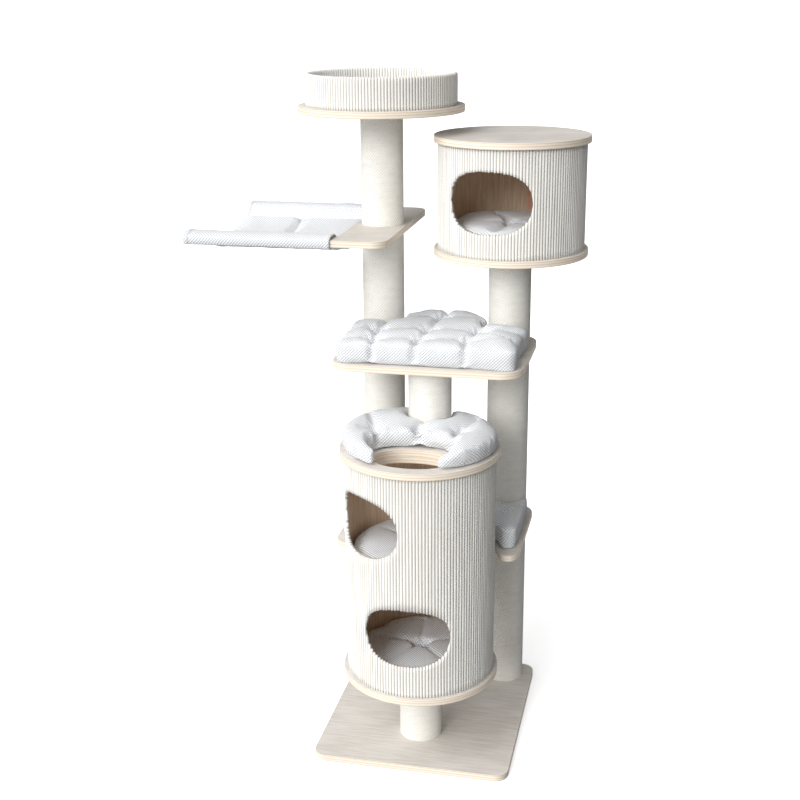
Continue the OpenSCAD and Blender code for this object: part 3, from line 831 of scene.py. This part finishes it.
def settle(piece):
    """Makes the piece's modifiers part of its mesh."""
    shape = piece.evaluated_get(bpy.context.evaluated_depsgraph_get())
    mesh = bpy.data.meshes.new_from_object(shape)
    piece.modifiers.clear()
    piece.data = mesh
    return mesh


print("the upper cushion's frame solid has", len(points_of(nodes["upper_platform_cushion"].data)), "points")


# %% Swelling by cloth simulation
SWELL_FRAMES = 20


def swell(piece, held, pressure):
    """Blows the piece up by cloth simulation with these points held, and returns the points."""
    group = piece.vertex_groups.new(name="held")
    for share in np.unique(np.round(held, 1)):
        if share > 0:
            chosen = np.nonzero(np.round(held, 1) == share)[0]
            group.add([int(i) for i in chosen], float(share), "REPLACE")
    cloth = piece.modifiers.new("stuffing", "CLOTH")
    cloth.settings.use_pressure = True
    cloth.settings.uniform_pressure_force = pressure
    cloth.settings.quality = 4
    cloth.settings.mass = 0.3
    cloth.settings.tension_stiffness = 9
    cloth.settings.compression_stiffness = 9
    cloth.settings.shear_stiffness = 4
    cloth.settings.bending_stiffness = 0.35
    cloth.settings.vertex_group_mass = "held"
    cloth.settings.effector_weights.gravity = 0
    cloth.collision_settings.use_collision = False
    cloth.point_cache.frame_end = SWELL_FRAMES
    for number in range(1, SWELL_FRAMES + 1):
        scene.frame_set(number)
    shape = piece.evaluated_get(bpy.context.evaluated_depsgraph_get())
    swollen = points_of(shape.data)
    piece.modifiers.remove(cloth)
    piece.vertex_groups.clear()
    scene.frame_set(1)
    return swollen


print("the filling swells over", SWELL_FRAMES, "frames")


# %% A plain solid becomes an even, rounded blank
BLANK_SQUARE = 6 * MM


def rounded_blank(node, voxel, rounding):
    """A copy of a frame solid in even squares, with its edges worn round as a filled bag's are."""
    piece = bpy.data.objects.new(node + "_stuffed", nodes[node].data.copy())
    scene.collection.objects.link(piece)
    even = piece.modifiers.new("even_squares", "REMESH")
    even.mode = "VOXEL"
    even.voxel_size = voxel
    worn = piece.modifiers.new("rounding", "SMOOTH")
    worn.factor = 0.5
    worn.iterations = rounding
    settle(piece)
    return piece


print("blanks are cut in squares of", BLANK_SQUARE / MM, "mm")


# %% Tufts and seams press the blank in
TUFT_REACH = 21 * MM
VALLEY_REACH = 18 * MM
LEAST_HELD = 0.55


def press_in(mesh, tufts, seams, valleys, pull, seam_depth, seam_reach, middle):
    """Draws the blank in at tufts, seams and soft valleys, and returns how firmly points are held."""
    start = points_of(mesh)
    held = np.zeros(len(start))
    for tuft in tufts:
        near = share_near(start, tuft, TUFT_REACH)
        start[:, 2] += (middle - start[:, 2]) * pull * near
        held = np.maximum(held, share_near(start, tuft, TUFT_REACH * 0.36))
    move_points(mesh, start)
    out = normals_of(mesh)
    above = (out[:, 2] > -0.3).astype(float)
    push = np.zeros(len(start))
    for seam in seams:
        push = np.maximum(push, seam_depth * share_near(start, seam, seam_reach) * above)
        held = np.maximum(held, 0.9 * share_near(start, seam, seam_reach * 0.45) * above)
    for valley in valleys:
        push = np.maximum(push, 0.5 * seam_depth * share_near(start, valley, VALLEY_REACH) * above)
    move_points(mesh, start - out * push[:, None])
    return np.where(held > LEAST_HELD, np.minimum(1, held + 0.2), 0)


print("a tuft draws the cloth in", TUFT_REACH / MM, "mm round it")


# %% Folds that run into the tufts, and small unevenness
FOLD_DEPTH = 1.4 * MM
FOLD_REACH = 20 * MM
LUMP_DEPTH = 2.2 * MM
CREASE_DEPTH = 0.8 * MM


def fold_relief(points, tufts, folds):
    """How far each point stands out: gathers round each tuft, and lumps of filling."""
    lift = np.zeros(len(points))
    for number, tuft in enumerate(tufts):
        away = points[:, :2] - np.array(tuft[:2])
        angle = np.arctan2(away[:, 1], away[:, 0])
        gap = np.linalg.norm(away, axis=1)
        spread = np.exp(-((gap - FOLD_REACH) / FOLD_REACH) ** 2)
        wave = folds * angle + 2.1 * number + 1.3 * np.sin(3 * angle + number)
        lift += FOLD_DEPTH * spread * np.sin(wave)
    for i, p in enumerate(points):
        lift[i] += LUMP_DEPTH * noise.noise(Vector(p) * 17)
        lift[i] += CREASE_DEPTH * noise.noise(Vector(p) * 60)
    return lift


def keep_clear(points, tubes):
    """Moves points out of tubes (x, y, radius), or into them where the radius is negative."""
    for x, y, radius in tubes:
        away = points[:, :2] - np.array((x, y))
        gap = np.maximum(np.linalg.norm(away, axis=1), 1e-6)
        wanted = np.maximum(gap, radius) if radius > 0 else soft_limit(gap, -1.0, -radius)
        points[:, :2] = np.array((x, y)) + away * (wanted / gap)[:, None]
    return points


print("folds are", FOLD_DEPTH / MM, "mm deep and lumps", LUMP_DEPTH / MM, "mm")


# %% A stuffed cushion
FOLDS = 7
TIP_REACH = 26 * MM


def stuffed(node, tufts=(), seams=(), valleys=(), cap=22 * MM, rounding=14, pull=0.75,
            seam_depth=10 * MM, seam_reach=10 * MM, clear=(), lowered=(), drawn=(),
            voxel=BLANK_SQUARE, pressure=9.0, margin=6 * MM, top=6 * MM, flat=True, spread=0.5, rise=0.0):
    """A cushion in a frame solid's place, pressed in, swollen, capped, folded and laid flat.

    Tufts, seams and valleys draw it in, lowered places sink, and drawn tips move inward. It swells
    by cap at most, and to the side by the share spread of that. The filling rises towards the
    back. It keeps out of the clear tubes, and within margin and top of the frame solid's box.
    """
    low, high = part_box(node)
    piece = rounded_blank(node, voxel, rounding)
    mesh = piece.data
    start = points_of(mesh)
    for x, y, reach, share in lowered:
        start[:, 2] -= share * (start[:, 2] - low.z) * share_near(start, (x, y), reach)
    for tip, inward in drawn:
        near = share_near(start, tip, TIP_REACH)[:, None]
        start[:, :2] += 0.5 * (np.array(inward) - start[:, :2]) * near
    move_points(mesh, start)
    middle = (low.z + high.z) / 2 - 4 * MM
    held = press_in(mesh, tufts, seams, valleys, pull, seam_depth, seam_reach, middle)
    start = points_of(mesh)
    after = swell(piece, held, pressure)
    step = after - start
    far = np.maximum(np.linalg.norm(step, axis=1), 1e-9)
    step *= (np.minimum(far, cap) / far)[:, None] * np.array((spread, spread, 1.0))
    start += step
    back = np.clip((start[:, 1] - low.y) / (high.y - low.y), 0, 1)
    start[:, 2] += rise * back * (start[:, 2] - low.z) / (high.z - low.z)
    move_points(mesh, start)
    finer = piece.modifiers.new("finer", "SUBSURF")
    finer.levels = 1
    finer.render_levels = 1
    mesh = settle(piece)
    after = points_of(mesh)
    folded = after + normals_of(mesh) * fold_relief(after, tufts, FOLDS)[:, None]
    after = keep_clear(folded, clear)
    after[:, 0] = soft_limit(after[:, 0], low.x - margin, high.x + margin)
    after[:, 1] = soft_limit(after[:, 1], low.y - margin, high.y + margin)
    if flat:
        after[:, 2] = np.maximum(soft_limit(after[:, 2], -1.0, high.z + top), low.z + 0.2 * MM)
    move_points(mesh, after)
    mesh.polygons.foreach_set("use_smooth", [True] * len(mesh.polygons))
    bpy.data.objects.remove(piece)
    cushion = stand_in(node + "_stuffed", mesh, (0, 0, 0), node)
    print(f"{cushion.name}: {len(mesh.vertices)} points, top at {after[:, 2].max() / MM:.0f} mm")
    return cushion


def in_mm(*values):
    """Millimetres to metres, for a list of places."""
    return tuple(v * MM for v in values)


print("each tuft gathers", FOLDS, "folds")

# %% The cushion on the upper platform
POST_CLEAR = 60 * MM
LEFT_POST = axis_of("left_post_2_rope")
RIGHT_POST = axis_of("right_post_2_rope")
MIDDLE_POST = axis_of("middle_post_rope")
BARREL_AXIS = axis_of("barrel_cord_cover")
UPPER_COLUMNS = [in_mm(-138, -90, -148, -15, -156, 75, -154, 200),
                 in_mm(-26, -90, -28, 0, -20, 100, -12, 225, 8, 310),
                 in_mm(109, -90, 96, 15, 116, 108, 119, 235)]
UPPER_ROWS = [in_mm(-260, -18, 0, 5, 260, 22), in_mm(-260, 70, 0, 100, 260, 108),
              in_mm(-260, 195, 0, 225, 260, 235)]
UPPER_TUFTS = [in_mm(-148, -12), in_mm(-28, 2), in_mm(96, 15),
               in_mm(-156, 75), in_mm(-20, 100), in_mm(116, 108),
               in_mm(-154, 198), in_mm(-12, 225), in_mm(119, 232)]
BACK_POSTS = [(post.x, post.y, POST_CLEAR) for post in (LEFT_POST, RIGHT_POST)]
stuffed("upper_platform_cushion", UPPER_TUFTS, UPPER_COLUMNS, UPPER_ROWS, cap=34 * MM,
        margin=16 * MM, top=38 * MM, rounding=30, pull=0.8, seam_depth=13 * MM, seam_reach=9 * MM,
        rise=9 * MM, spread=0.6, clear=BACK_POSTS,
        lowered=[in_mm(-112, 292, 32) + (0.4,), in_mm(112, 292, 32) + (0.4,)])

# %% The cushion on the lower platform
LOWER_TUFTS = [in_mm(x, y) for x in (-185, -60, 60, 185) for y in (110, 200)]
LOWER_COLUMNS = [in_mm(x, 0, x, 320) for x in (-122, 0, 122)]
LOWER_ROW = in_mm(-270, 155, 270, 155)
BARREL_CLEAR = 212 * MM
stuffed("lower_platform_cushion", LOWER_TUFTS, LOWER_COLUMNS, [LOWER_ROW], cap=20 * MM,
        clear=BACK_POSTS + [(BARREL_AXIS.x, BARREL_AXIS.y, BARREL_CLEAR)])

# %% The horseshoe round the way up
HORSESHOE_SEAMS = [in_mm(-96, -185, -130, -101, -160, -20), in_mm(5, -215, -8, -100, 0, -30),
                   in_mm(95, -170, 110, -90, 135, -20)]
HORSESHOE_TUFTS = [in_mm(-118, -135), in_mm(2, -120), in_mm(108, -120)]
stuffed("barrel_top_cushion", HORSESHOE_TUFTS, HORSESHOE_SEAMS, cap=30 * MM, margin=14 * MM, top=16 * MM,
        rounding=30, seam_depth=13 * MM, spread=0.9,
        lowered=[in_mm(-98, -315, 42) + (0.45,), in_mm(96, -312, 50) + (0.6,)],
        drawn=[(in_mm(-84, -310), in_mm(-104, -285)), (in_mm(84, -310), in_mm(98, -288))],
        clear=[(MIDDLE_POST.x, MIDDLE_POST.y, POST_CLEAR)])

# %% The round cushions in the barrel, the cabin and the bowl
CHAMBER_CLEAR = 187 * MM
SPOKES = 5
SPOKE_LENGTH = 130 * MM
SUNK = in_mm(-110, -30, 75) + (0.5,)
CHAMBERS = {"barrel_lower_cushion": (0.35, -4 * MM, 4 * MM, [SUNK]),
            "barrel_upper_cushion": (0.1, -4 * MM, 4 * MM, []),
            "cabin_cushion": (0.6, 14 * MM, 16 * MM, []),
            "bowl_cushion": (0.2, -4 * MM, 4 * MM, [])}


def spokes_from(centre, start_turn):
    """Seams from a round cushion's middle outwards, the first one turned by this share of a gap."""
    turns = [TURN * (i + start_turn) / SPOKES for i in range(SPOKES)]
    return [(centre.x, centre.y, centre.x + SPOKE_LENGTH * math.cos(turn),
             centre.y + SPOKE_LENGTH * math.sin(turn)) for turn in turns]


for node_name, (start_turn, top, rise, lowered) in CHAMBERS.items():
    centre = axis_of(node_name)
    stuffed(node_name, [(centre.x, centre.y)], spokes_from(centre, start_turn), cap=18 * MM,
            seam_depth=12 * MM, seam_reach=11 * MM, clear=[(centre.x, centre.y, -CHAMBER_CLEAR)],
            lowered=lowered, top=top, rise=rise)

# %% [markdown]
# ## The hammock's sling and pad
# The sling is one length of cloth with a sleeve sewn at each end. The sleeves slide over the two
# flat arms of the frame and the cloth hangs between them. It is a sheet, so it is drawn as one
# curved line across the hammock, swept along the arms, and given a thread's thickness.

# %% The line of the sling's cloth, across the hammock
SLING_CLOTH = 2.4 * MM
CREST = 9
SAG = 63
arm_low, arm_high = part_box("hammock_frame")
sling_low, sling_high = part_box("hammock_sling")


def sleeve_line(crest):
    """A sleeve's cloth, as (in from the arm's outer edge, up from its top), in millimetres."""
    return [(84, -25), (60, -23), (30, -22.5), (2, -21.5), (-5, -14), (-5.5, -3), (0, crest - 6),
            (18, crest - 1), (38, crest), (58, crest - 3), (72, crest - 14), (84, -16)]


def sag_line(depth):
    """The hanging cloth from one sleeve to the middle, on the same terms."""
    return [(105, -32), (140, -46), (190, -depth + 6), (240, -depth + 1)]


def sling_line():
    """Corners of the sling's cloth from its front sleeve's seam to its back one's, in (y, z)."""
    half = sleeve_line(CREST) + sag_line(SAG)
    front = [(arm_low.y + a * MM, arm_high.z + b * MM) for a, b in half]
    back = [(arm_high.y - a * MM, arm_high.z + b * MM) for a, b in half]
    middle = [((arm_low.y + arm_high.y) / 2, arm_high.z - SAG * MM)]
    return np.array(front + middle + back[::-1])


def smooth_line(corners, steps):
    """A curve through every corner, with this many steps between two."""
    padded = np.vstack([2 * corners[0] - corners[1], corners, 2 * corners[-1] - corners[-2]])
    out = []
    for i in range(1, len(padded) - 2):
        a, b, c, d = padded[i - 1:i + 3]
        for t in np.arange(steps) / steps:
            out.append(0.5 * (2 * b + (c - a) * t + (2 * a - 5 * b + 4 * c - d) * t * t
                              + (3 * b - a - 3 * c + d) * t ** 3))
    out.append(corners[-1])
    return np.array(out)


LINE = smooth_line(sling_line(), 6)

# %% The sling, swept along the arms
SLING_RIGHT = sling_high.x
SLING_OVERHANG = 7 * MM
SLING_LEFT = sling_low.x - SLING_OVERHANG
SLING_WIDTH = SLING_RIGHT - SLING_LEFT
SLING_MIDDLE = (arm_low.y + arm_high.y) / 2
HEM = 14 * MM
HEM_CLOTH = SLING_CLOTH * 1.25
BACK_SLACK = 10 * MM
CORNER_SLACK = 12 * MM


def sling_point(t, row):
    """The cloth's point at a share t of the way from right to left and at a row of its line."""
    last = len(LINE) - 1
    tangent = LINE[min(row + 1, last)] - LINE[max(row - 1, 0)]
    normal = np.array((tangent[1], -tangent[0])) / max(1e-9, np.linalg.norm(tangent))
    y, z = LINE[row]
    to_back = max(0.0, (y - SLING_MIDDLE) / (arm_high.y - SLING_MIDDLE))
    drawn_in = t * (BACK_SLACK * min(1.0, 1.4 * to_back) + CORNER_SLACK * to_back ** 6)
    x = SLING_RIGHT - (SLING_WIDTH - drawn_in) * t
    loose = 1.0 if z > arm_high.z else 0.35
    ripple = loose * (1.7 * MM * noise.noise(Vector((x * 22, y * 14, 3.0)))
                      + 0.9 * MM * noise.noise(Vector((x * 70, y * 30, 8.0))))
    across = ripple * normal
    return (x, y + across[0], z + across[1])


def swept_sheet(name, shares, thickness):
    """The sling's cloth over these shares of its width, with this thickness."""
    rows = len(LINE)
    points = [sling_point(t, row) for t in shares for row in range(rows)]
    faces = [(c * rows + r, (c + 1) * rows + r, (c + 1) * rows + r + 1, c * rows + r + 1)
             for c in range(len(shares) - 1) for r in range(rows - 1)]
    piece = bpy.data.objects.new(name, shell_mesh(name, points, faces))
    scene.collection.objects.link(piece)
    thick = piece.modifiers.new("cloth", "SOLIDIFY")
    thick.thickness = thickness
    thick.offset = 0
    mesh = settle(piece)
    bpy.data.objects.remove(piece)
    return mesh


sling = stand_in("hammock_sling_cloth", swept_sheet("sling", np.linspace(0, 1, 60), SLING_CLOTH),
                 (0, 0, 0), "hammock_sling")
for side, start in (("right", 0.0), ("left", 1 - HEM / SLING_WIDTH)):
    shares = np.linspace(start, start + HEM / SLING_WIDTH, 4)
    cloth = swept_sheet("hem_" + side, shares, HEM_CLOTH)
    stand_in("hammock_sling_hem_" + side, cloth, (0, 0, 0), "hammock_sling")

# %% The pad on the sling
pad_low, pad_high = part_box("hammock_pad")
PAD_SEAM = -464 * MM
PAD_OVERRUN = 20 * MM
pad_seam = (PAD_SEAM, pad_low.y - PAD_OVERRUN, PAD_SEAM, pad_high.y + PAD_OVERRUN)
stuffed("hammock_pad", [], [pad_seam], cap=6 * MM, rounding=3, seam_depth=11 * MM,
        seam_reach=5 * MM, voxel=5 * MM, pressure=4.0, margin=8 * MM, flat=False)

# %% [markdown]
# ## Floor and light
# A plain pale floor and a soft sky, as in a studio with white walls, plus two broad soft lamps.
# The key shines down from the front left, which leaves the right side of each tube in gentle
# shade. The fill shines low from the front and lights the insides of the barrel and the
# cabin. The floor lights nothing else, so the undersides of the boards stay darker.


# %% Floor
FLOOR_REACH = 400


def studio_floor():
    """A pale floor that reaches to the horizon and glows a little, so that it stays white."""
    mesh = bpy.data.meshes.new("floor")
    reach = FLOOR_REACH
    corners = [(-reach, -reach, 0), (reach, -reach, 0), (reach, reach, 0), (-reach, reach, 0)]
    mesh.from_pydata(corners, [], [(0, 1, 2, 3)])
    floor = bpy.data.objects.new("floor", mesh)
    scene.collection.objects.link(floor)
    floor.location.z = -0.5 * MM
    finish = Finish("pale_floor", Emission_Strength=0.5)
    finish.shader.inputs["Emission Color"].default_value = paint(255, 255, 255)
    speckle = finish.noise(finish.place(), 0.02, 3)
    colour = finish.mix(speckle, paint(250, 250, 250), paint(245, 245, 245))
    mesh.materials.append(finish.dress(colour, 0.9, speckle, 0.05 * MM, 0.2))
    floor.visible_diffuse = False


studio_floor()
print("floor reaches", FLOOR_REACH, "m each way")

# %% Light
SKY_DIM = 0.05
SKY_BRIGHT = 0.84
SKY_WAY = (-0.62, -0.6, 0.5)
SKY_FROM = -0.7
SKY_TO = 1.0
KEY = 1.58
KEY_WAY = (0.58, 0.68, -0.9)
FILL = 1.42
FILL_WAY = (0.22, 0.91, -0.37)


class Sky(Finish):
    """The world's own nodes, added in the same way as a material's."""

    def __init__(self, name):
        self.world = bpy.data.worlds.new(name)
        self.world.use_nodes = True
        self.tree = self.world.node_tree
        self.tree.nodes.remove(self.tree.nodes["Background"])


def studio_sky():
    """A white studio: bright in front on the left, dim behind, and plain white to the eye."""
    sky = Sky("studio")
    scene.world = sky.world
    white = (1, 1, 1, 1)
    way = sky.add("ShaderNodeTexCoord", output="Generated")
    dot = {"operation": "DOT_PRODUCT"}
    toward = sky.add("ShaderNodeVectorMath", dot, {0: way, 1: SKY_WAY}, "Value")
    spread = {0: toward, 1: SKY_FROM, 2: SKY_TO, 3: SKY_DIM, 4: SKY_BRIGHT}
    strength = sky.add("ShaderNodeMapRange", {"interpolation_type": "SMOOTHSTEP"}, spread)
    lit = sky.add("ShaderNodeBackground", {}, {"Color": white, "Strength": strength})
    seen = sky.add("ShaderNodeBackground", {}, {"Color": white})
    to_camera = sky.add("ShaderNodeLightPath", output="Is Camera Ray")
    shown = sky.add("ShaderNodeMixShader", {}, {0: to_camera, 1: lit, 2: seen})
    sky.feed(sky.tree.nodes["World Output"], "Surface", shown)


def soft_lamp(name, strength, way, width):
    """A broad soft lamp that shines this way, as wide in the sky as this many degrees."""
    lamp = bpy.data.lights.new(name, "SUN")
    lamp.energy = strength
    lamp.angle = math.radians(width)
    piece = bpy.data.objects.new(name, lamp)
    piece.rotation_euler = Vector(way).to_track_quat("-Z", "Y").to_euler()
    scene.collection.objects.link(piece)


studio_sky()
soft_lamp("key", KEY, KEY_WAY, 50)
soft_lamp("fill", FILL, FILL_WAY, 25)
scene.view_settings.view_transform = "Standard"
scene.view_settings.look = "None"
print("sky from", SKY_DIM, "to", SKY_BRIGHT, "a key of", KEY, "and a fill of", FILL)
